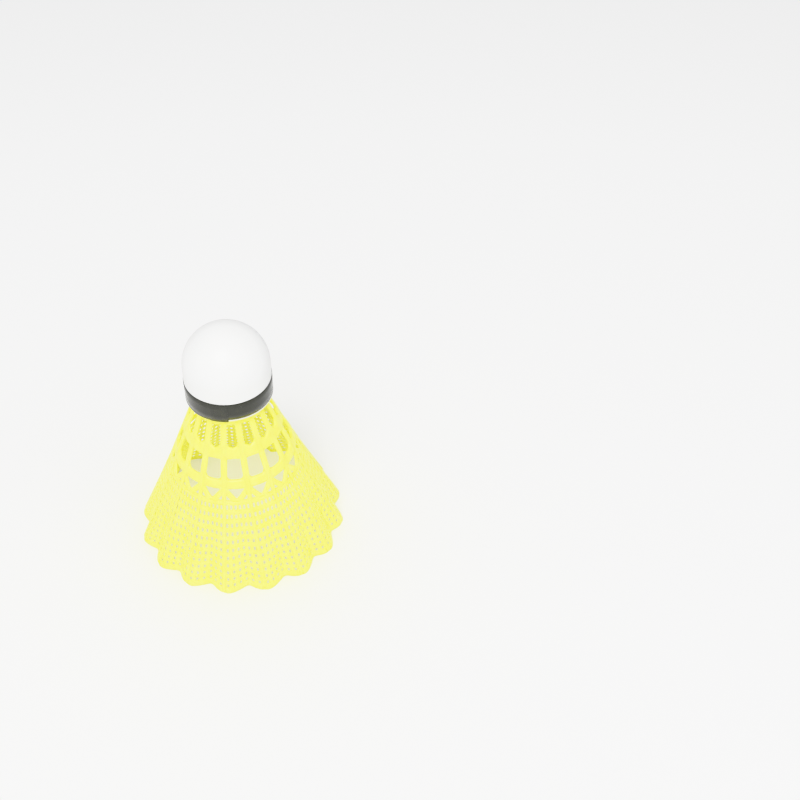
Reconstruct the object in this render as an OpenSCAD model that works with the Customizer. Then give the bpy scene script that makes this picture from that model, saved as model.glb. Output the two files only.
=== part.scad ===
// Badminton shuttlecock with a covered cork head and a moulded nylon skirt.
// It stands on the skirt's tips, head up. The origin is on the axis, at the level of the tips.
// Azimuths are counted from -Y towards +X.

/* [Overall] */
// Height from the tips to the crown of the head
overall_h = 80.6; // [78:0.1:87]

/* [Head] */
// Outer diameter of the covered head
head_d = 26.5; // [25:0.1:28]
// Length of the head from its flat foot to its crown
head_len = 24.6; // [22:0.1:27]
// Thickness of the white cover over the core
skin_t = 0.35; // [0.2:0.05:0.6]
// Width of the tape band
tape_w = 6.6; // [4:0.1:9]
// Thickness of the tape band
tape_t = 0.24; // [0.1:0.02:0.4]
// Height of the tape's lower edge above the head's foot
tape_lift = 0.35; // [0.1:0.05:1]

/* [Plug] */
// Outer diameter of the plug that is glued into the head
plug_d = 19.5; // [16:0.1:20]
// Wall of the plug
plug_wall = 0.8; // [0.6:0.1:1.6]
// Length of the plug above its flange
plug_len = 10; // [6:0.1:13]
// Diameter of the flange that the head's foot sits on
flange_d = 25.8; // [24:0.1:26]
// Thickness of the flange
flange_t = 0.8; // [0.6:0.1:1.6]
// Height of the collar that ties the tops of the stems together
collar_h = 2.6; // [1.5:0.1:4]

/* [Skirt] */
// Number of stems, and of vanes between them
stem_count = 16; // [14:2:18]
// Azimuth of the first stem
stem_turn = -5.8; // [-11:0.1:11]
// Radius of the skirt's straight cone, carried down to the level of the tips
cone_foot_r = 31.96; // [30:0.01:33]
// Half angle of the straight cone
cone_angle = 21.2; // [20.5:0.1:22]
// Height below which the skirt leaves the straight cone and starts to ripple
ripple_h = 28.5; // [15:0.5:28.5]
// How the ripple grows below that height: 1 is even, more is slower at first
ripple_power = 1.3; // [1:0.1:3]
// How far the tips stand outside the straight cone
tip_flare = 1.4; // [0:0.1:2.5]
// How far the valleys of the hem stand inside the straight cone
valley_dip = 1.5; // [0:0.1:2.5]
// Height of the hem at its valleys
valley_h = 0.6; // [0.4:0.1:4]
// Place of each valley between two stems, as a share of the gap
valley_at = 0.62; // [0.4:0.01:0.7]

/* [Stems] */
// Width of a stem between the windows
stem_top_w = 2; // [1.6:0.1:2.4]
// Width of a stem where the vanes begin
stem_mid_w = 1.1; // [0.9:0.1:1.5]
// Width of a stem at its tip
stem_foot_w = 1; // [0.8:0.1:1.5]
// Depth of a stem, square to the cone
stem_depth = 0.9; // [0.8:0.05:1.1]

/* [Vanes] */
// How far the vanes lie below the outer face of the stems
vane_recess = 0.15; // [0.1:0.05:0.5]
// Thickness of the vanes
vane_t = 0.35; // [0.25:0.05:0.4]
// Height of the top edge of the vanes
vane_top = 28.8; // [28.5:0.1:30]

/* [Rings] */
// Depth of the rings' outer face below the stems' outer face
ring_recess = 0.1; // [0.05:0.05:0.5]
// Depth of the rings' inner face below the stems' outer face
ring_depth = 1.2; // [1.15:0.05:2]
// Height of the lower edge of the upper ring
ring_upper_z = 42.1; // [41:0.1:44]
// Width of the upper ring along the axis
ring_upper_w = 3.9; // [2:0.1:4.5]
// Height of the lower edge of the lower ring
ring_lower_z = 32.8; // [32.5:0.1:34]
// Width of the lower ring along the axis
ring_lower_w = 2.7; // [2:0.1:4]
// Depth of the strut band's inner face below the stems' outer face
strut_depth = 1.2; // [1.15:0.05:1.5]
// Angle between stems that a strut window's top edge spans
window_span = 16; // [10:0.5:18]
// Height of a strut window's lower corner above the vanes
window_lift = 0.6; // [0.4:0.1:1.5]

/* [Hidden] */
$fn = 96;

skirt_colour = [0.95, 0.93, 0.25];
head_colour = [0.95, 0.95, 0.94];
cork_colour = [0.78, 0.6, 0.4];
tape_colour = [0.16, 0.17, 0.16];

head_r = head_d / 2;
head_z = overall_h - head_len;
dome_z = overall_h - head_r;
plug_r = plug_d / 2;
socket_gap = 0.2;
flange_z = head_z - flange_t;
collar_z = flange_z - collar_h;

stem_pitch = 360 / stem_count;
first_azimuth = stem_turn - 90;
slope = tan(cone_angle);
reach = 2 * cone_foot_r;
seam_azimuth = first_azimuth + 3;
ripple_steps = 6;
widen_z = vane_top + 0.3;
wide_z = ring_lower_z + ring_lower_w / 2;

long_steps = 4;
short_steps = 3;
column_count = long_steps + short_steps;
row_count = 6;
row_crowding = 1.5;
overlap = 1;

// Value a share t of the way from a to b
function mix(a, b, t) = a + (b - a) * t;

// Name of one of a set of repeated nodes
function numbered(name, i) = str(name, "_", i < 10 ? "0" : "", i);

// A list in the opposite order
function backwards(list) = [for (i = [len(list) - 1 : -1 : 0]) list[i]];

// Radius of the straight cone at height z
function cone_r(z) = cone_foot_r - slope * z;

// Horizontal distance that a depth square to the cone takes up
function level(depth) = depth / cos(cone_angle);

// Strength of the ripple: none above ripple_h, and growing to 1 at the tips
function ripple(z) = z < ripple_h ? pow(1 - z / ripple_h, ripple_power) : 0;

// Outer face of a stem at height z
function ridge_r(z) = cone_r(z) + tip_flare * ripple(z);

// Half the width of a stem at height z: nearly even beside the vanes, then widening to the windows
function stem_half_w(z) =
    z < widen_z ? mix(stem_foot_w, stem_mid_w, z / widen_z) / 2
    : z < wide_z ? mix(stem_mid_w, stem_top_w, (z - widen_z) / (wide_z - widen_z)) / 2
    : stem_top_w / 2;

// Azimuth of stem i, measured from +X
function stem_azimuth(i) = first_azimuth + (i - 1) * stem_pitch;

// Share of the gap between two stems at column c, with one column on the valley
function column_share(c) = c < long_steps
    ? valley_at * c / long_steps
    : 1 - (1 - valley_at) * (column_count - c) / short_steps;

// 0 at a stem and 1 at the valley
function valley_share(c) = c < long_steps
    ? c / long_steps
    : (column_count - c) / short_steps;

// Height of a vane's grid point: the rows crowd towards the hem
function vane_z(row, c) = let (hem = valley_h * valley_share(c))
    hem + (vane_top - hem) * pow(row / row_count, row_crowding);

// Radius of a vane's grid point at the given depth below the stems' outer face
function vane_r(z, c, depth) = cone_r(z) - level(depth)
    + ripple(z) * (tip_flare * (1 - valley_share(c)) - valley_dip * valley_share(c));

// One grid point of a vane, whose side edges lie on the side faces of its two stems
function vane_point(row, c, depth) = let (
    z = vane_z(row, c),
    r = vane_r(z, c, depth),
    edge = asin(stem_half_w(z) / r),
    a = edge + (stem_pitch - 2 * edge) * column_share(c)
) [r * cos(a), r * sin(a), z];

// All points of one row of a vane
function row_points(row, depth) = [for (c = [0 : column_count]) vane_point(row, c, depth)];

// Outline of the head at an inset from its outer surface
module head_outline(inset) {
    intersection() {
        union() {
            translate([0, dome_z])
                circle(head_r - inset);
            translate([0, head_z])
                square([head_r - inset, dome_z - head_z]);
        }
        translate([0, head_z])
            square([head_r, head_len]);
    }
}

// Band of the straight cone between two depths and two heights, turned so that it starts beside a stem
module cone_band(z, w, outer, inner) {
    rotate(seam_azimuth)
        rotate_extrude()
            polygon([
                [cone_r(z) - level(outer), z],
                [cone_r(z + w) - level(outer), z + w],
                [cone_r(z + w) - level(inner), z + w],
                [cone_r(z) - level(inner), z]
            ]);
}

// Bar over the +X axis: its outer face follows the given heights, and its flanks follow the stem's width
module stem_bar(heights) {
    low = heights[0];
    side = [for (z = [low, widen_z, wide_z, flange_z]) [stem_half_w(z), z]];
    outer = [for (z = heights) [ridge_r(z), z]];
    inner = [for (p = outer) [p[0] - level(stem_depth), p[1]]];
    intersection() {
        rotate([90, 0, 0])
            linear_extrude(2 * stem_top_w, center = true)
                polygon(concat(outer, backwards(inner)));
        rotate([90, 0, 90])
            linear_extrude(reach)
                polygon(concat(side, [for (p = backwards(side)) [-p[0], p[1]]]));
    }
}

// Stem from its tip to the flange
module stem_body() {
    stem_bar([for (s = [0 : ripple_steps]) ripple_h * s / ripple_steps, flange_z]);
}

// The room that a stem takes above the ripple, for cutting its seat in a ring
module stem_seat() {
    stem_bar([ripple_h, flange_z]);
}

// Copies its child to every stem
module at_stems() {
    for (i = [1 : stem_count])
        rotate(stem_azimuth(i))
            children();
}

// Copies its child to the middle of every gap
module at_gaps() {
    rotate(stem_pitch / 2)
        at_stems()
            children();
}

// Cork core of the head, with the socket for the skirt's plug
module head_core() {
    color(cork_colour)
        difference() {
            rotate_extrude()
                head_outline(skin_t);
            translate([0, 0, head_z - overlap])
                cylinder(h = plug_len + socket_gap + overlap, r = plug_r);
        }
}

// Thin cover bonded over the core
module head_skin() {
    color(head_colour)
        rotate_extrude()
            difference() {
                head_outline(0);
                head_outline(skin_t);
            }
}

// Tape round the foot of the head
module tape_band() {
    color(tape_colour)
        translate([0, 0, head_z + tape_lift])
            difference() {
                cylinder(h = tape_w, r = head_r + tape_t);
                translate([0, 0, -overlap])
                    cylinder(h = tape_w + 2 * overlap, r = head_r);
            }
}

// Hollow plug with the flange under the head and the collar that holds the stems
module skirt_plug() {
    bore_r = plug_r - plug_wall;
    color(skirt_colour)
        difference() {
            union() {
                translate([0, 0, flange_z])
                    cylinder(h = plug_len + flange_t, r = plug_r);
                translate([0, 0, flange_z])
                    cylinder(h = flange_t, r = flange_d / 2);
                rotate_extrude()
                    polygon([
                        [bore_r, flange_z],
                        [cone_r(flange_z) - level(ring_recess), flange_z],
                        [cone_r(collar_z) - level(ring_recess), collar_z],
                        [cone_r(collar_z) - level(ring_depth), collar_z]
                    ]);
            }
            translate([0, 0, collar_z - overlap])
                cylinder(h = collar_h + flange_t + plug_len + 2 * overlap, r = bore_r);
            at_stems()
                stem_seat();
        }
}

// Ring that crosses the stems between the two rows of windows
module ring_upper() {
    color(skirt_colour)
        difference() {
            cone_band(ring_upper_z, ring_upper_w, ring_recess, ring_depth);
            at_stems()
                stem_seat();
        }
}

// Ring under the second row of windows
module ring_lower() {
    color(skirt_colour)
        difference() {
            cone_band(ring_lower_z, ring_lower_w, ring_recess, ring_depth);
            at_stems()
                stem_seat();
        }
}

// Band of diagonal struts that leaves one triangular window in each gap
module strut_band() {
    strut_h = ring_lower_z - vane_top;
    low = vane_top + window_lift;
    high = ring_lower_z + overlap;
    half_w = cone_r(ring_lower_z) * sin(window_span / 2) * (high - low) / (ring_lower_z - low);
    cut_start = cone_r(ring_lower_z) - level(strut_depth) - overlap;
    cut_end = cone_r(vane_top) + overlap;
    color(skirt_colour)
        difference() {
            cone_band(vane_top, strut_h, vane_recess, strut_depth);
            at_stems()
                stem_seat();
            at_gaps()
                translate([cut_start, 0, 0])
                    rotate([90, 0, 90])
                        linear_extrude(cut_end - cut_start)
                            polygon([[0, low], [half_w, high], [-half_w, high]]);
        }
}

// Stem i
module stem(i) {
    color(skirt_colour)
        rotate(stem_azimuth(i))
            stem_body();
}

// Rippled web between stem i and the next one
module vane(i) {
    across = column_count + 1;
    layer = across * (row_count + 1);
    outer = [for (row = [0 : row_count]) each row_points(row, vane_recess)];
    inner = [for (row = [0 : row_count]) each row_points(row, vane_recess + vane_t)];
    cells = [for (row = [0 : row_count - 1]) for (c = [0 : column_count - 1]) row * across + c];
    top = row_count * across;
    rows = [for (row = [0 : row_count - 1]) row * across];
    faces = concat(
        [for (a = cells) [a, a + across, a + 1]],
        [for (a = cells) [a + 1, a + across, a + across + 1]],
        [for (a = cells) [layer + a, layer + a + 1, layer + a + across]],
        [for (a = cells) [layer + a + 1, layer + a + across + 1, layer + a + across]],
        [for (c = [0 : column_count - 1]) [c, c + 1, layer + c + 1]],
        [for (c = [0 : column_count - 1]) [c, layer + c + 1, layer + c]],
        [for (c = [0 : column_count - 1]) let (a = top + c) [a + 1, a, layer + a]],
        [for (c = [0 : column_count - 1]) let (a = top + c) [a + 1, layer + a, layer + a + 1]],
        [for (a = rows) [a + across, a, layer + a]],
        [for (a = rows) [a + across, layer + a, layer + a + across]],
        [for (a = rows) let (b = a + column_count) [b, b + across, layer + b]],
        [for (a = rows) let (b = a + column_count) [b + across, layer + b + across, layer + b]]
    );
    color(skirt_colour)
        rotate(stem_azimuth(i))
            polyhedron(points = concat(outer, inner), faces = faces);
}

head_core();
head_skin();
tape_band();
skirt_plug();
ring_upper();
ring_lower();
strut_band();
for (i = [1 : stem_count]) stem(i);
for (i = [1 : stem_count]) vane(i);
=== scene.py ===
# Badminton shuttlecock: the visual model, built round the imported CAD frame. Lengths are in metres.
# Azimuths are counted in degrees from -Y towards +X, and "share" is the place between two stems, 0 to 1.
# Depths are counted inwards from the outer face of the skirt, square to its cone.
import math

import bpy
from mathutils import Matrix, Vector


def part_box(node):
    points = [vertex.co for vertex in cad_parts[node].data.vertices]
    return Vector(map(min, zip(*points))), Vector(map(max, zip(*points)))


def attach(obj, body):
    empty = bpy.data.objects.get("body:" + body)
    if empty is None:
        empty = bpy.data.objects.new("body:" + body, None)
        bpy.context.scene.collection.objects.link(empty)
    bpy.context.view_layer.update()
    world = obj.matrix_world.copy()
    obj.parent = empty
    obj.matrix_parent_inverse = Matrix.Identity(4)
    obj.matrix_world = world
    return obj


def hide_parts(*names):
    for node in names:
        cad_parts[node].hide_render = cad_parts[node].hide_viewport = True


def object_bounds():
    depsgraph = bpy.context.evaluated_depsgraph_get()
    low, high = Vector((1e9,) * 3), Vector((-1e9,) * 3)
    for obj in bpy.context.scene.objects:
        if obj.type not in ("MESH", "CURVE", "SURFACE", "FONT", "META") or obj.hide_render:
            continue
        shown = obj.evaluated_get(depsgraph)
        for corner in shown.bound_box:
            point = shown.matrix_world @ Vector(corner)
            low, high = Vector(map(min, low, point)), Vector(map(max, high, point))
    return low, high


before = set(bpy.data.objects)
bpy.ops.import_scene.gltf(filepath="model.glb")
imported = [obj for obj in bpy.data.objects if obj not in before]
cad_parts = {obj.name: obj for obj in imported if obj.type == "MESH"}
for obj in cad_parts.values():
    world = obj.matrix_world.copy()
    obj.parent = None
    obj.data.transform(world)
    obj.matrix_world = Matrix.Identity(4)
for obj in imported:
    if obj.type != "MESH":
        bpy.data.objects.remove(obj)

MM = 0.001
cad_low, cad_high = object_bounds()

# ---------------------------------------------------------------- sizes read from the frame
skin_low, skin_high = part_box("head_skin")
core_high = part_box("head_core")[1]
tape_low, tape_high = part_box("tape_band")
plug_low, plug_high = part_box("skirt_plug")
upper_low, upper_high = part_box("ring_upper")
lower_low, lower_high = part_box("ring_lower")
strut_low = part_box("strut_band")[0]
stem_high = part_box("stem_01")[1]

STEM_COUNT = sum(name.startswith("stem_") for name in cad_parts)
PITCH = 360 / STEM_COUNT
FIRST_STEM = -5.8

HEAD_R = skin_high.x
HEAD_FOOT = skin_low.z
CROWN = skin_high.z
DOME_Z = CROWN - HEAD_R
CORE_R = core_high.x
FLANGE_R = plug_high.x
STEM_TOP = stem_high.z

# ---------------------------------------------------------------- the skirt's cone and its ripple
RING_RECESS = 0.1 * MM
RING_DEPTH = 1.1 * MM
SLOPE = (lower_high.x - upper_high.x) / (upper_low.z - lower_low.z)
CONE_COS = 1 / math.hypot(1, SLOPE)
CONE_FOOT_R = lower_high.x + SLOPE * lower_low.z + RING_RECESS / CONE_COS

RIPPLE_H = 28.5 * MM
RIPPLE_POWER = 1.3
STEM_FOOT_HALF = 0.5 * MM
OFF_AXIS = math.radians(-FIRST_STEM)
TIP_R = (cad_high.x - STEM_FOOT_HALF * math.sin(OFF_AXIS)) / math.cos(OFF_AXIS)
TIP_FLARE = TIP_R - CONE_FOOT_R
VALLEY_DIP = 1.5 * MM
VALLEY_H = 0.6 * MM
TIP_AT = 0.11
VALLEY_AT = 0.62
TIP_SOFT = 0.2
DROP_POWER = 1.9


def stem_azimuth(i):
    """Azimuth of stem i, counted from 0."""
    return FIRST_STEM + i * PITCH


def share_at(azimuth):
    """How far an azimuth is on the way from one stem to the next."""
    return ((azimuth - FIRST_STEM) / PITCH) % 1


def valley_share(share):
    """0 at the hem's tip beside a stem and 1 at the valley, with a slow climb and a steep drop."""
    x = (share - TIP_AT) % 1
    rise = VALLEY_AT - TIP_AT
    if x >= rise:
        return ((1 - x) / (1 - rise)) ** DROP_POWER
    return (math.hypot(x / rise, TIP_SOFT) - TIP_SOFT) / (math.hypot(1, TIP_SOFT) - TIP_SOFT)


def ripple(z):
    """Strength of the ripple, 1 at the hem and 0 from RIPPLE_H up."""
    return (1 - z / RIPPLE_H) ** RIPPLE_POWER if z < RIPPLE_H else 0.0


def cone_r(z):
    """Radius of the plain cone, without its ripple."""
    return CONE_FOOT_R - SLOPE * z


def skin_r(share, z):
    """Radius of the skirt's outer face."""
    w = valley_share(share)
    return cone_r(z) + ripple(z) * (TIP_FLARE * (1 - w) - VALLEY_DIP * w)


def at(azimuth, r, z):
    a = math.radians(azimuth)
    return Vector((r * math.sin(a), -r * math.cos(a), z))


def on_skirt(azimuth, z, depth):
    """A point of the skirt at a depth. The depth is square to the cone, and the point keeps its height."""
    return at(azimuth, skin_r(share_at(azimuth), z) - depth / CONE_COS, z)


# ---------------------------------------------------------------- mesh helpers
def new_piece(name, verts, faces, material, replaced=(), levels=0):
    """Makes a smooth piece from points and faces, and ties it to the frame."""
    mesh = bpy.data.meshes.new(name)
    mesh.from_pydata([tuple(v) for v in verts], [], faces)
    mesh.validate()
    mesh.polygons.foreach_set("use_smooth", [True] * len(mesh.polygons))
    mesh.materials.append(material)
    piece = bpy.data.objects.new(name, mesh)
    bpy.context.scene.collection.objects.link(piece)
    if levels:
        smooth = piece.modifiers.new("smooth", "SUBSURF")
        smooth.levels = smooth.render_levels = levels
    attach(piece, "root")
    if replaced:
        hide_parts(*replaced)


def loft(loops, closed=False):
    """Quads between successive loops of points. Open ends are capped, and closed ones joined."""
    n = len(loops[0])
    verts = [p for loop in loops for p in loop]
    faces = []
    for i in range(len(loops) if closed else len(loops) - 1):
        a, b = i * n, (i + 1) % len(loops) * n
        faces += [(a + j, a + (j + 1) % n, b + (j + 1) % n, b + j) for j in range(n)]
    if not closed:
        faces += [tuple(reversed(range(n))), tuple(range(len(verts) - n, len(verts)))]
    return verts, faces


def lathe(profile, steps):
    """Turns a closed (r, z) outline about the axis."""
    loops = [[at(360 * k / steps, r, z) for r, z in profile] for k in range(steps)]
    return loft(loops, closed=True)


def thicken(points, faces, outer, inner):
    """A closed solid from a pattern of (azimuth, z) points on the skirt, between two depths."""
    n = len(points)
    verts = [on_skirt(a, z, outer) for a, z in points] + [on_skirt(a, z, inner) for a, z in points]
    solid = list(faces) + [tuple(n + i for i in reversed(face)) for face in faces]
    edges = {(face[k], face[(k + 1) % len(face)]) for face in faces for k in range(len(face))}
    solid += [(b, a, n + a, n + b) for a, b in sorted(edges) if (b, a) not in edges]
    return verts, solid


def rounded_section(half_w, top, bottom, power, count):
    """Points (across, depth) of a rounded rectangle between two depths."""
    mid, half_d = (top + bottom) / 2, (bottom - top) / 2
    out = []
    for k in range(count):
        a = 2 * math.pi * (k + 0.5) / count
        c, s = math.cos(a), math.sin(a)
        out.append((
            half_w * math.copysign(abs(c) ** (2 / power), c),
            mid - half_d * math.copysign(abs(s) ** (2 / power), s),
        ))
    return out


def mix(a, b, t):
    """From a to b while t goes from 0 to 1. Outside that range t is held at its end."""
    return a + (b - a) * min(max(t, 0.0), 1.0)


# ---------------------------------------------------------------- materials
def shader(name, base, roughness, **sockets):
    """A new material and its Principled node. Further sockets are given by name, with _ for a space."""
    material = bpy.data.materials.new(name)
    material.use_nodes = True
    node = material.node_tree.nodes["Principled BSDF"]
    node.inputs["Base Color"].default_value = (*base, 1)
    node.inputs["Roughness"].default_value = roughness
    for socket, value in sockets.items():
        node.inputs[socket.replace("_", " ")].default_value = value
    return material, node


def object_coordinates(tree):
    return tree.nodes.new("ShaderNodeTexCoord").outputs["Object"]


def noise(tree, scale, detail, roughness=0.5):
    node = tree.nodes.new("ShaderNodeTexNoise")
    node.inputs["Scale"].default_value = scale
    node.inputs["Detail"].default_value = detail
    node.inputs["Roughness"].default_value = roughness
    tree.links.new(object_coordinates(tree), node.inputs["Vector"])
    return node.outputs["Fac"]


def ramp(tree, factor, start, end):
    """A colour ramp between two stops, each a (position, colour) pair."""
    node = tree.nodes.new("ShaderNodeValToRGB")
    for element, (position, colour) in zip(node.color_ramp.elements, (start, end)):
        element.position = position
        element.color = (*colour, 1)
    tree.links.new(factor, node.inputs["Fac"])
    return node.outputs["Color"]


def grey(value):
    return (value, value, value)


def bump(tree, node, height, distance, strength):
    bumps = tree.nodes.new("ShaderNodeBump")
    bumps.inputs["Strength"].default_value = strength
    bumps.inputs["Distance"].default_value = distance
    tree.links.new(height, bumps.inputs["Height"])
    tree.links.new(bumps.outputs["Normal"], node.inputs["Normal"])


def nylon_material():
    """Fluorescent yellow moulded nylon: translucent, faintly mottled, with a fine satin skin. Its faint
    yellow emission is a painted glow standing in for the fluorescence.
    """
    material, node = shader(
        "nylon", base=(0.93, 0.91, 0.18), roughness=0.38,
        Subsurface_Weight=0.85, Subsurface_Scale=0.002, IOR=1.53,
        # painted glow: this faint emission stands in for the nylon's fluorescence and shines whatever the
        # lamps do
        Emission_Strength=0.08,
    )
    node.inputs["Subsurface Radius"].default_value = (1.0, 1.0, 0.35)
    # colour of the painted fluorescent glow
    node.inputs["Emission Color"].default_value = (0.95, 0.93, 0.05, 1)
    tree = material.node_tree
    mottle = noise(tree, scale=260, detail=3)
    colour = ramp(tree, mottle, (0.3, (0.9, 0.88, 0.15)), (0.7, (0.95, 0.93, 0.21)))
    tree.links.new(colour, node.inputs["Base Color"])
    satin = ramp(tree, noise(tree, scale=900, detail=4), (0.3, grey(0.3)), (0.7, grey(0.44)))
    tree.links.new(satin, node.inputs["Roughness"])
    bump(tree, node, noise(tree, scale=2600, detail=3), distance=0.02 * MM, strength=0.6)
    return material


def cover_material():
    """Smooth white synthetic leather with a fine pore grain and a faint shade variation."""
    material, node = shader(
        "head_cover", base=(0.68, 0.68, 0.67), roughness=0.4, Coat_Weight=0.06, Coat_Roughness=0.25,
    )
    tree = material.node_tree
    shade = noise(tree, scale=90, detail=4)
    colour = ramp(tree, shade, (0.3, (0.66, 0.66, 0.655)), (0.7, (0.7, 0.7, 0.695)))
    tree.links.new(colour, node.inputs["Base Color"])
    pores = tree.nodes.new("ShaderNodeTexVoronoi")
    pores.inputs["Scale"].default_value = 1700
    tree.links.new(object_coordinates(tree), pores.inputs["Vector"])
    bump(tree, node, pores.outputs["Distance"], distance=0.03 * MM, strength=0.35)
    satin = ramp(tree, noise(tree, scale=700, detail=3), (0.3, grey(0.36)), (0.7, grey(0.5)))
    tree.links.new(satin, node.inputs["Roughness"])
    return material


def tape_material():
    """Glossy black film tape with faint ripples and scuffs."""
    material, node = shader(
        "tape", base=(0.02, 0.021, 0.02), roughness=0.2, Coat_Weight=0.4, Coat_Roughness=0.08,
    )
    tree = material.node_tree
    scuffs = noise(tree, scale=420, detail=6, roughness=0.65)
    gloss = ramp(tree, scuffs, (0.35, grey(0.16)), (0.75, grey(0.34)))
    tree.links.new(gloss, node.inputs["Roughness"])
    colour = ramp(tree, scuffs, (0.4, (0.018, 0.019, 0.012)), (0.8, (0.033, 0.034, 0.024)))
    tree.links.new(colour, node.inputs["Base Color"])
    bump(tree, node, noise(tree, scale=260, detail=2), distance=0.06 * MM, strength=0.5)
    return material


def cork_material():
    """Agglomerated cork: pale granules with dark grain lines between them."""
    material, node = shader("cork", base=(0.55, 0.36, 0.2), roughness=0.85)
    tree = material.node_tree
    granules = tree.nodes.new("ShaderNodeTexVoronoi")
    granules.feature = "DISTANCE_TO_EDGE"
    granules.inputs["Scale"].default_value = 620
    tree.links.new(object_coordinates(tree), granules.inputs["Vector"])
    colour = ramp(tree, granules.outputs["Distance"], (0.0, (0.2, 0.1, 0.05)), (0.12, (0.6, 0.4, 0.22)))
    tree.links.new(colour, node.inputs["Base Color"])
    bump(tree, node, granules.outputs["Distance"], distance=0.2 * MM, strength=0.6)
    return material


NYLON = nylon_material()
COVER = cover_material()
TAPE = tape_material()
CORK = cork_material()

# ---------------------------------------------------------------- stems
STEM_DEPTH = 0.9 * MM
STEM_MID_HALF = 0.55 * MM
STEM_TOP_HALF = 0.97 * MM
WIDEN_Z = strut_low.z + 0.3 * MM
WIDE_Z = (lower_low.z + lower_high.z) / 2
STEM_START = 0.95 * MM
STEM_IN_FLANGE = 0.2 * MM
STEM_STEPS = 44
# height and scale of each loop that rounds a stem's foot
STEM_FOOT_LOOPS = ((0.45 * MM, 0.55), (0.6 * MM, 0.8))
SECTION_POWER = 3.2
SECTION_POINTS = 12


def stem_half(z):
    """Half the width of a stem: nearly even beside the vanes, then widening to the windows."""
    if z < WIDEN_Z:
        return mix(STEM_FOOT_HALF, STEM_MID_HALF, z / WIDEN_Z)
    return mix(STEM_MID_HALF, STEM_TOP_HALF, (z - WIDEN_Z) / (WIDE_Z - WIDEN_Z))


def beside_stem(azimuth, r, z, across, depth):
    """A point beside the plane of a stem, by its distance across and its depth."""
    a = math.radians(azimuth)
    out = r - depth / CONE_COS
    return Vector((out * math.sin(a) + across * math.cos(a), -out * math.cos(a) + across * math.sin(a), z))


def stem_loop(i, z, scale=1.0):
    """The section of stem i at a height, shrunk about its middle by the scale."""
    top, bottom = STEM_DEPTH * (1 - scale) / 2, STEM_DEPTH * (1 + scale) / 2
    section = rounded_section(stem_half(z) * scale, top, bottom, SECTION_POWER, SECTION_POINTS)
    return [beside_stem(stem_azimuth(i), skin_r(0, z), z, across, depth) for across, depth in section]


def make_stems():
    heights = [mix(STEM_START, STEM_TOP + STEM_IN_FLANGE, k / STEM_STEPS) for k in range(STEM_STEPS + 1)]
    for i in range(STEM_COUNT):
        loops = [stem_loop(i, z, scale) for z, scale in STEM_FOOT_LOOPS]
        loops += [stem_loop(i, z) for z in heights]
        verts, faces = loft(loops)
        new_piece(f"rib_{i + 1:02d}", verts, faces, NYLON, [f"stem_{i + 1:02d}"], levels=1)


# ---------------------------------------------------------------- vanes
HOLES = 6
# degrees from a stem to the nearest column of holes
FIRST_HOLE = 2.3
HOLE_PITCH = (PITCH - 2 * FIRST_HOLE) / (HOLES - 1)
HOLE_HALF_W = 0.4 * MM
TOP_ROW_Z = 26.95 * MM
TOP_ROW_PITCH = 2.9 * MM
ROW_PITCH_LOSS = 0.1 * MM
ROWS = 11
HOLE_HALF_H = 0.8 * MM
HOLE_HALF_H_LOSS = 0.025 * MM
VANE_OUTER = 0.16 * MM
VANE_INNER = 0.62 * MM
VANE_TOP = strut_low.z
HEM_BLEND = 12 * MM

# the eight points round a cell, anticlockwise from its right side, as shares of its half size
CELL = [(1, 0), (1, 1), (0, 1), (-1, 1), (-1, 0), (-1, -1), (0, -1), (1, -1)]
HOLE_CORNER = 0.8

BEAD_STEPS = 16
BEAD_SIDES = 8
BEAD_R = 0.3 * MM
BEAD_DEPTH = 0.55 * MM


def row_z(row):
    """Height of the middle of a row of holes, counted down from the top."""
    return TOP_ROW_Z - row * TOP_ROW_PITCH + row * (row - 1) / 2 * ROW_PITCH_LOSS


def hem_z(azimuth):
    """Height of the hem's lower edge."""
    return VALLEY_H * valley_share(share_at(azimuth))


def bent(azimuth, z):
    """A height that follows the hem near the bottom and is level above."""
    return z + hem_z(azimuth) * max(0.0, 1 - z / HEM_BLEND)


def vane_pattern(i):
    """Points (azimuth, z) and faces of one perforated vane."""
    points, index, faces = [], {}, []

    def point(azimuth, z):
        key = (round(azimuth, 5), round(z / MM, 5))
        if key not in index:
            index[key] = len(points)
            points.append((azimuth, bent(azimuth, z)))
        return index[key]

    def strip(lines, low, high):
        for a, b in zip(lines, lines[1:]):
            faces.append((point(a, low), point(b, low), point(b, high), point(a, high)))

    start = stem_azimuth(i) + FIRST_HOLE
    half = HOLE_PITCH / 2
    edges = [VANE_TOP, TOP_ROW_Z + TOP_ROW_PITCH / 2]
    edges += [(row_z(row) + row_z(row + 1)) / 2 for row in range(ROWS)]
    bottom = edges[-1]
    for column in range(HOLES):
        mid = start + column * HOLE_PITCH
        lines = [mid - half, mid, mid + half]
        strip(lines, edges[1], edges[0])
        strip(lines, bottom / 2, bottom)
        strip(lines, 0, bottom / 2)
        for row in range(ROWS):
            high, low = edges[row + 1], edges[row + 2]
            centre, half_h = row_z(row), HOLE_HALF_H - row * HOLE_HALF_H_LOSS
            half_angle = math.degrees(HOLE_HALF_W / cone_r(centre))
            rim, hole = [], []
            for u, v in CELL:
                edge_z = high if v > 0 else low if v < 0 else centre
                rim.append(point(mid + u * half, edge_z))
                corner = HOLE_CORNER if u and v else 1
                hole.append(point(mid + u * corner * half_angle, centre + v * corner * half_h))
            for k in range(len(CELL)):
                n = (k + 1) % len(CELL)
                faces.append((rim[k], rim[n], hole[n], hole[k]))
    return points, faces


def make_vanes():
    for i in range(STEM_COUNT):
        points, faces = vane_pattern(i)
        verts, solid = thicken(points, faces, VANE_OUTER, VANE_INNER)
        new_piece(f"mesh_vane_{i + 1:02d}", verts, solid, NYLON, [f"vane_{i + 1:02d}"], levels=1)


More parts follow.
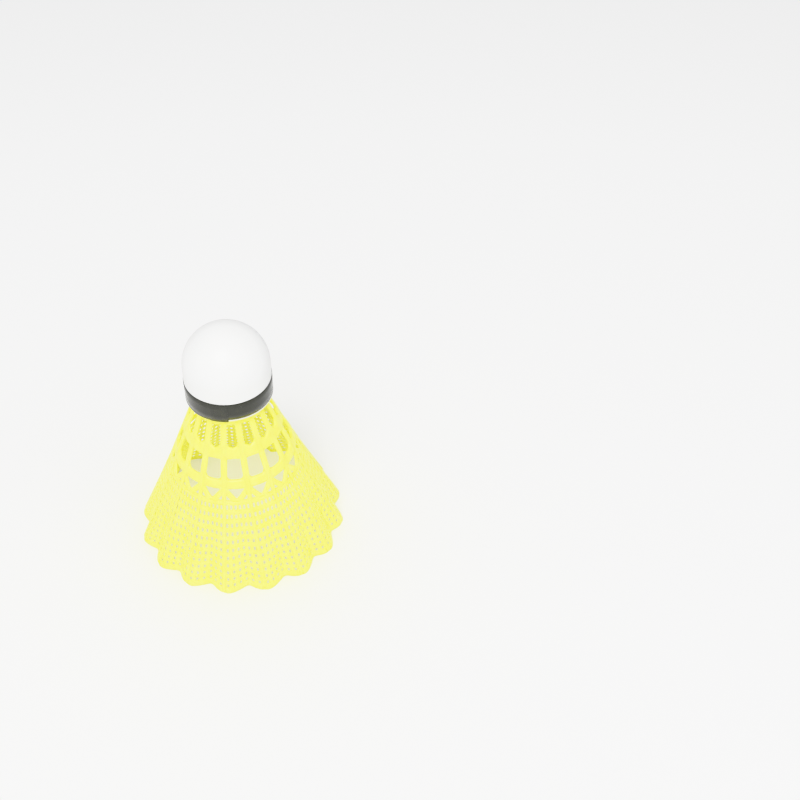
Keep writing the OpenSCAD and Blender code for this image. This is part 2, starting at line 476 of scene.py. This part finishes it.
def make_hem_bead():
    """The rounded bead along the hem."""
    loops = []
    for k in range(BEAD_STEPS * STEM_COUNT):
        azimuth = FIRST_STEM + k * PITCH / BEAD_STEPS
        z = hem_z(azimuth) + BEAD_R
        ring = []
        for j in range(BEAD_SIDES):
            a = 2 * math.pi * j / BEAD_SIDES
            ring.append(on_skirt(azimuth, z + BEAD_R * math.sin(a), BEAD_DEPTH + BEAD_R * math.cos(a)))
        loops.append(ring)
    verts, faces = loft(loops, closed=True)
    new_piece("hem_bead", verts, faces, NYLON, levels=1)


# ---------------------------------------------------------------- rings
# half widths, in degrees, of the windows between the rings and of the slots above the upper ring
WINDOW_HALF = 8.0
SLOT_HALF = 6.75

# the radius of each opening's corners, how far its edge bends from its middle to its corners, and how far
# a slot's foot is sunk below the ring's top
WINDOW_TOP_CORNER = 0.5 * MM
WINDOW_TOP_DISH = 0.15 * MM
WINDOW_FOOT_CORNER = 1.0 * MM
WINDOW_FOOT_DISH = 0.1 * MM
SLOT_CORNER = 0.5 * MM
SLOT_DISH = 0.9 * MM
SLOT_SINK = 0.8 * MM

RING_STEPS = 28
# shares of a ring's height, and of its depth, where its section has points
RING_LEVELS = (0, 0.15, 0.5, 0.85, 1)
RING_SHOULDERS = (0.2, 0.8)


def corner_rise(distance, radius):
    """How far a rounded corner of the given radius has risen at a distance from its wall."""
    if distance >= radius:
        return 0.0
    d = radius - max(distance, 0.0)
    return radius - math.sqrt(max(radius ** 2 - d ** 2, 0.0))


def ring_edge(z, away, half, radius, sign, dish):
    """Height of a ring's edge at an angle away from the middle of a gap, with rounded corners."""
    wall = math.radians(half - abs(away)) * cone_r(z)
    return z + sign * (corner_rise(wall, radius) + dish * min(abs(away) / half, 1))


def make_ring(name, node, low, high, lower_edge, upper_edge):
    """A hoop with its edges given as functions of the angle away from the middle of a gap."""
    shoulders = [mix(RING_RECESS, RING_DEPTH, t) for t in RING_SHOULDERS]
    loops = []
    for k in range(RING_STEPS * STEM_COUNT):
        away = ((k % RING_STEPS) + 0.5) * PITCH / RING_STEPS - PITCH / 2
        azimuth = FIRST_STEM + (k + 0.5) * PITCH / RING_STEPS
        bottom, top = lower_edge(low, away), upper_edge(high, away)
        z = [mix(bottom, top, t) for t in RING_LEVELS]
        ring = [on_skirt(azimuth, h, RING_RECESS) for h in z[1:-1]]
        ring += [on_skirt(azimuth, z[-1], depth) for depth in shoulders]
        ring += [on_skirt(azimuth, h, RING_DEPTH) for h in reversed(z[1:-1])]
        ring += [on_skirt(azimuth, z[0], depth) for depth in reversed(shoulders)]
        loops.append(ring)
    verts, faces = loft(loops, closed=True)
    faces = [tuple(reversed(face)) for face in faces]
    new_piece(name, verts, faces, NYLON, [node], levels=1)


def make_rings():
    make_ring(
        "upper_hoop", "ring_upper", upper_low.z, upper_high.z,
        lambda z, away: ring_edge(z, away, WINDOW_HALF, WINDOW_TOP_CORNER, -1, WINDOW_TOP_DISH),
        lambda z, away: ring_edge(z - SLOT_SINK, away, SLOT_HALF, SLOT_CORNER, 1, SLOT_DISH),
    )
    make_ring(
        "lower_hoop", "ring_lower", lower_low.z, lower_high.z,
        lambda z, away: z,
        lambda z, away: ring_edge(z, away, WINDOW_HALF, WINDOW_FOOT_CORNER, 1, WINDOW_FOOT_DISH),
    )


# ---------------------------------------------------------------- strut band
STRUT_INNER = 0.75 * MM
STRUT_LAP = 0.3 * MM
TRIANGLE_LIFT = 0.75 * MM
# in degrees: half the width of a triangular window, and the distances from the stem of a corner hole's
# wall and far end
TRIANGLE_HALF = 8.1
CORNER_HOLE_WALL = 1.9
CORNER_HOLE_REACH = 5.6
CORNER_HOLE_LOW = 0.35 * MM
CORNER_HOLE_HIGH = 1.85 * MM
# shares by which a hole's corners are pulled towards its middle
TRIANGLE_ROUNDING = 0.06
CORNER_HOLE_ROUNDING = 0.2
SIDE_STEPS = 6


def triangle_cell(corners, hole, rounding, points, faces, index):
    """Fills a triangle round a rounded triangular hole. Corners and hole corners are (azimuth, z)."""

    def point(place):
        key = (round(place[0], 4), round(place[1] / MM, 4))
        if key not in index:
            index[key] = len(points)
            points.append(place)
        return index[key]

    rim, inside = [], []
    centre = tuple(sum(corner[axis] for corner in hole) / 3 for axis in (0, 1))
    for k in range(3):
        n = (k + 1) % 3
        for j in range(SIDE_STEPS):
            t = j / SIDE_STEPS
            rim.append(point(tuple(mix(corners[k][axis], corners[n][axis], t) for axis in (0, 1))))
            spot = tuple(mix(hole[k][axis], hole[n][axis], t) for axis in (0, 1))
            pull = rounding if j == 0 else 0
            inside.append(point(tuple(mix(spot[axis], centre[axis], pull) for axis in (0, 1))))
    count = 3 * SIDE_STEPS
    for k in range(count):
        n = (k + 1) % count
        faces.append((rim[k], rim[n], inside[n], inside[k]))


def make_struts():
    """The band of diagonals: one triangular window and two small corner holes in each gap."""
    low, high = strut_low.z, lower_low.z + STRUT_LAP
    window_low, window_high = low + TRIANGLE_LIFT, lower_low.z
    hole_low, hole_high = low + CORNER_HOLE_LOW, low + CORNER_HOLE_HIGH
    points, faces, index = [], [], {}

    def cell(corners, hole, rounding):
        triangle_cell(corners, hole, rounding, points, faces, index)

    for i in range(STEM_COUNT):
        left, right = stem_azimuth(i), stem_azimuth(i + 1)
        middle = (left + right) / 2
        top_left, top_right = (left, high), (right, high)
        low_left, low_right, foot = (left, low), (right, low), (middle, low)
        window_left, window_right = middle - TRIANGLE_HALF, middle + TRIANGLE_HALF
        window = [(middle, window_low), (window_right, window_high), (window_left, window_high)]
        cell([foot, top_right, top_left], window, TRIANGLE_ROUNDING)
        wall, reach = left + CORNER_HOLE_WALL, left + CORNER_HOLE_REACH
        left_hole = [(wall, hole_low), (reach, hole_low), (wall, hole_high)]
        cell([low_left, foot, top_left], left_hole, CORNER_HOLE_ROUNDING)
        wall, reach = right - CORNER_HOLE_WALL, right - CORNER_HOLE_REACH
        right_hole = [(wall, hole_low), (wall, hole_high), (reach, hole_low)]
        cell([low_right, top_right, foot], right_hole, CORNER_HOLE_ROUNDING)
    verts, solid = thicken(points, faces, VANE_OUTER, STRUT_INNER)
    new_piece("strut_band_web", verts, solid, NYLON, ["strut_band"], levels=1)


# ---------------------------------------------------------------- plug, flange and collar
PLUG_R = 9.75 * MM
PLUG_WALL = 0.8 * MM
PLUG_EDGE = 0.15 * MM
PLUG_STEPS = 96


def make_plug():
    """The hollow plug with its flange and the collar below it, as one turned outline."""
    bore = PLUG_R - PLUG_WALL
    foot, top = plug_low.z, plug_high.z
    soft = PLUG_EDGE
    collar_out = cone_r(foot) - RING_RECESS / CONE_COS
    collar_in = cone_r(foot) - RING_DEPTH / CONE_COS
    neck_out = cone_r(STEM_TOP) - RING_RECESS / CONE_COS
    profile = [
        (bore, top - soft), (bore, mix(STEM_TOP, top, 0.5)), (bore, STEM_TOP + soft),
        (bore, STEM_TOP - soft), (collar_in, foot + soft), (collar_in + soft, foot),
        (collar_out - soft, foot), (collar_out, foot + soft),
        (neck_out, STEM_TOP - soft), (neck_out + soft, STEM_TOP), (mix(neck_out, FLANGE_R, 0.5), STEM_TOP),
        (FLANGE_R - soft, STEM_TOP), (FLANGE_R, STEM_TOP + soft), (FLANGE_R, HEAD_FOOT - soft),
        (FLANGE_R - soft, HEAD_FOOT), (PLUG_R + soft, HEAD_FOOT), (PLUG_R, HEAD_FOOT + soft),
        (PLUG_R, mix(HEAD_FOOT, top, 0.5)), (PLUG_R, top - soft), (PLUG_R - soft, top), (bore + soft, top),
    ]
    verts, faces = lathe(profile, PLUG_STEPS)
    new_piece("plug_and_flange", verts, faces, NYLON, ["skirt_plug"], levels=1)


# ---------------------------------------------------------------- head
DOME_STEPS = 40
WALL_STEPS = 6
HEAD_STEPS = 128
COVER_EDGE = 0.12 * MM


def make_cover():
    """The white cover: a hemispherical shell on a short wall, with its lower edges bevelled."""
    outer, inner = [], []
    for k in range(DOME_STEPS + 1):
        a = math.radians(90 * k / DOME_STEPS)
        outer.append((HEAD_R * math.cos(a), DOME_Z + HEAD_R * math.sin(a)))
        inner.append((CORE_R * math.cos(a), DOME_Z + CORE_R * math.sin(a)))
    wall_foot = HEAD_FOOT + COVER_EDGE
    foot = [
        (CORE_R, wall_foot), (CORE_R + COVER_EDGE, HEAD_FOOT),
        (HEAD_R - COVER_EDGE, HEAD_FOOT), (HEAD_R, wall_foot),
    ]
    inner_wall = [(CORE_R, mix(DOME_Z, wall_foot, k / WALL_STEPS)) for k in range(1, WALL_STEPS)]
    outer_wall = [(HEAD_R, mix(wall_foot, DOME_Z, k / WALL_STEPS)) for k in range(1, WALL_STEPS)]
    profile = list(reversed(inner[:-1])) + inner_wall + foot + outer_wall + outer[:-1]
    verts, faces = [], []
    count = len(profile)
    for k in range(HEAD_STEPS):
        verts += [at(360 * k / HEAD_STEPS, r, z) for r, z in profile]
    for k in range(HEAD_STEPS):
        a, b = k * count, (k + 1) % HEAD_STEPS * count
        faces += [(a + j, b + j, b + j + 1, a + j + 1) for j in range(count - 1)]
    crown, under = len(verts), len(verts) + 1
    verts += [Vector((0, 0, CROWN)), Vector((0, 0, DOME_Z + CORE_R))]
    for k in range(HEAD_STEPS):
        a, b = k * count, (k + 1) % HEAD_STEPS * count
        faces.append((a + count - 1, b + count - 1, crown))
        faces.append((b, a, under))
    new_piece("head_cover", verts, faces, COVER, ["head_skin"])


# the tape's turn, in degrees: its overlap, its outer end, its climb on to its own start, and the last part,
# over which its lower edge drops
TAPE_LAP = 20.0
TAPE_SEAM = 4.0
TAPE_CLIMB = 6.0
TAPE_DROP_TURN = 270
TAPE_STEPS = 188
TAPE_FILM = 0.11 * MM
TAPE_SOFT = TAPE_FILM * 0.45
TAPE_SLACK = 0.01 * MM
TAPE_START_RISE = 0.38 * MM
TAPE_END_DROP = 0.4 * MM
TAPE_TOP_SINK = 0.1 * MM
# shares of the tape's height where its section has points
TAPE_LEVELS = (0, 0.33, 0.67, 1)


def make_tape():
    """The tape, wound once round to its seam at the front and lapped over its own start."""
    winding = 360 + TAPE_LAP
    loops = []
    for k in range(TAPE_STEPS + 1):
        turned = winding * k / TAPE_STEPS
        over = mix(0, TAPE_FILM + TAPE_SLACK, (turned - 360 + TAPE_CLIMB) / TAPE_CLIMB)
        drop = (turned - winding + TAPE_DROP_TURN) / TAPE_DROP_TURN
        low = tape_low.z + mix(TAPE_START_RISE, -TAPE_END_DROP, drop)
        high = tape_high.z - mix(TAPE_TOP_SINK, 0, turned / 360)
        r0 = HEAD_R + TAPE_SLACK + over
        r1 = r0 + TAPE_FILM
        wall = [mix(low + TAPE_SOFT, high - TAPE_SOFT, t) for t in TAPE_LEVELS]
        section = [(r1, z) for z in wall] + [(r1 - TAPE_SOFT, high), (r0 + TAPE_SOFT, high)]
        section += [(r0, z) for z in reversed(wall)] + [(r0 + TAPE_SOFT, low), (r1 - TAPE_SOFT, low)]
        loops.append([at(TAPE_SEAM - TAPE_LAP + turned, r, z) for r, z in section])
    verts, faces = loft(loops)
    new_piece("tape_wrap", verts, faces, TAPE, ["tape_band"])


def dress_core():
    """Cork for the core, which keeps its CAD mesh."""
    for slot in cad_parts["head_core"].material_slots:
        slot.material = CORK


# ---------------------------------------------------------------- floor, light and camera
WHITE = (1, 1, 1, 1)
FLOOR_SIZE = 6
FLOOR_GLOW = 0.3
WORLD_STRENGTH = 0.45
LAMP_SIZE = 0.6
KEY_PLACE = (-0.09, -0.52, 0.85)
KEY_WATTS = 15
FILL_PLACE = (0.6, -0.3, 0.5)
FILL_WATTS = 2

CAMERA_PLACE = (0.0517, -0.3176, 0.3526)
CAMERA_TILT = 46.61
CAMERA_LENS_MM = 64.53
CAMERA_SENSOR_MM = 36
CAMERA_CLIP = (0.01, 20)


def make_floor():
    """A pale floor that gives off a little light, so that the inside of the skirt isn't dark."""
    bpy.ops.mesh.primitive_plane_add(size=FLOOR_SIZE)
    floor = bpy.context.object
    floor.name = "floor"
    material, node = shader("floor", base=grey(0.6), roughness=0.6, Emission_Strength=FLOOR_GLOW)
    node.inputs["Emission Color"].default_value = WHITE
    floor.data.materials.append(material)


def area_light(name, place, power, target):
    light = bpy.data.lights.new(name, "AREA")
    light.shape = "DISK"
    light.size = LAMP_SIZE
    light.energy = power
    lamp = bpy.data.objects.new(name, light)
    lamp.location = place
    lamp.rotation_euler = (Vector(target) - Vector(place)).to_track_quat("-Z", "Y").to_euler()
    bpy.context.scene.collection.objects.link(lamp)


def make_studio():
    world = bpy.data.worlds.new("studio")
    bpy.context.scene.world = world
    world.use_nodes = True
    background = world.node_tree.nodes["Background"]
    background.inputs["Color"].default_value = WHITE
    background.inputs["Strength"].default_value = WORLD_STRENGTH
    middle = (0, 0, (cad_high.z + cad_low.z) / 2)
    area_light("key", KEY_PLACE, KEY_WATTS, middle)
    area_light("fill", FILL_PLACE, FILL_WATTS, middle)


def make_camera():
    camera = bpy.data.cameras.new("camera")
    camera.sensor_width = CAMERA_SENSOR_MM
    camera.lens = CAMERA_LENS_MM
    camera.clip_start, camera.clip_end = CAMERA_CLIP
    seen = bpy.data.objects.new("camera", camera)
    seen.location = CAMERA_PLACE
    seen.rotation_euler = (math.radians(CAMERA_TILT), 0, 0)
    bpy.context.scene.collection.objects.link(seen)
    bpy.context.scene.camera = seen
    bpy.context.scene.view_settings.view_transform = "Khronos PBR Neutral"


make_stems()
make_vanes()
make_hem_bead()
make_rings()
make_struts()
make_plug()
make_cover()
make_tape()
dress_core()
make_floor()
make_studio()
make_camera()
